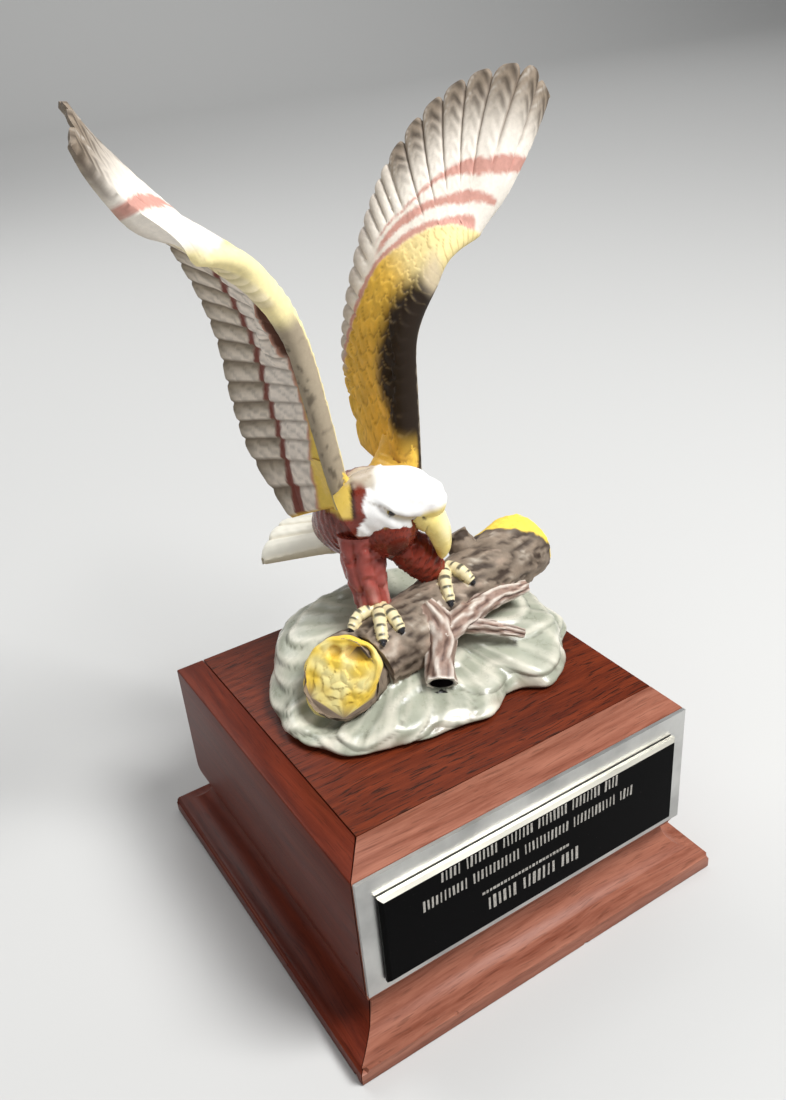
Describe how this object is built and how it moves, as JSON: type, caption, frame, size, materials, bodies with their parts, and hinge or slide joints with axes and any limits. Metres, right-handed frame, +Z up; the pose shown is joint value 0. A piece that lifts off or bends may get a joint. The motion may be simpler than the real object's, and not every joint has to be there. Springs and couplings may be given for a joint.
{
  "type": "eagle trophy",
  "caption": "Painted porcelain eagle landing on a log and rock with raised wings, on a square walnut plinth with a bevelled black name plate.",
  "frame": {"origin": "middle of the plinth's underside", "axes": "+Z up; -Y is the front with the plates; +X is the viewer's right when facing the plates"},
  "size_m": [0.138, 0.1275, 0.2144],
  "materials": {
    "walnut_panel": "satin lacquered walnut panel",
    "walnut_edge": "satin lacquered walnut moulding, pinkish sheen",
    "silver_plate": "bright satin silver sheet",
    "black_plate": "gloss black plate with bevelled edges and pale engraved rows",
    "painted_porcelain": "hand-painted porcelain, mostly matt with soft sheen on the rock, head and legs"
  },
  "bodies": {
    "root": {"plinth_block": "walnut_panel", "plinth_front_board": "walnut_edge", "plinth_left_board": "walnut_edge", "silver_plate": "silver_plate", "engraved_plate": "black_plate", "eagle_figurine": "painted_porcelain"}
  },
  "joints": []
}
